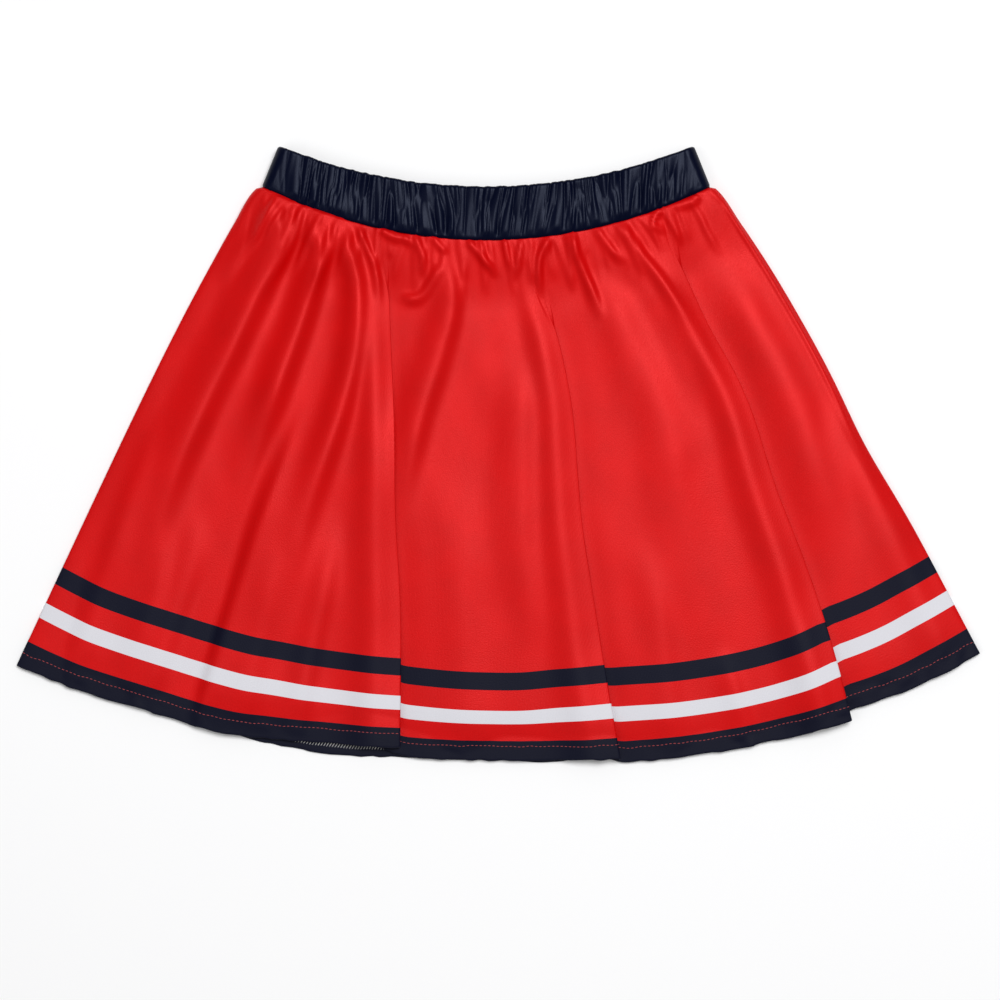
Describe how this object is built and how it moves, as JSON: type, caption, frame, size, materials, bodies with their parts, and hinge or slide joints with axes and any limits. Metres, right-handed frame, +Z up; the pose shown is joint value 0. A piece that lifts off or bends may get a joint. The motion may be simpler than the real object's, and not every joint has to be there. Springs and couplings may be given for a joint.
{
  "type": "cheer skirt",
  "caption": "Flared pull-on cheer skirt laid flat: printed knit panels with striped hem, gathered elastic waistband, seams and labels.",
  "frame": {"origin": "middle of the laid-flat skirt's footprint, on the surface that it lies on", "axes": "+X across the skirt from its left side seam to its right side seam as seen from above, +Y from the hem towards the waist, +Z up, away from the surface it lies on"},
  "size_m": [0.672, 0.4296, 0.0154],
  "materials": {
    "knit_red": "satin polyester knit with printed stripes",
    "band_navy": "satin polyester knit, gathered",
    "elastic_white": "ribbed woven elastic",
    "thread_red": "polyester sewing thread",
    "thread_white": "polyester sewing thread",
    "thread_navy": "polyester sewing thread",
    "label_satin": "blank satin label tape"
  },
  "bodies": {
    "root": {"front_panel": "knit_red", "back_panel": "knit_red", "waistband_front": "band_navy", "waistband_back": "band_navy", "waist_elastic": "elastic_white", "elastic_join_stitching": "thread_white", "waist_seam_overlock_front": "thread_red", "waist_seam_overlock_back": "thread_red", "side_seam_overlock_left": "thread_red", "side_seam_overlock_right": "thread_red", "hem_topstitch_front": "thread_red", "hem_topstitch_back": "thread_red", "hem_overlock_front": "thread_white", "hem_overlock_back": "thread_white", "band_seam_thread_left": "thread_navy", "band_seam_thread_right": "thread_navy", "size_label": "label_satin", "size_label_stitching": "thread_white", "care_label": "label_satin", "care_label_stitching": "thread_white"}
  },
  "joints": []
}
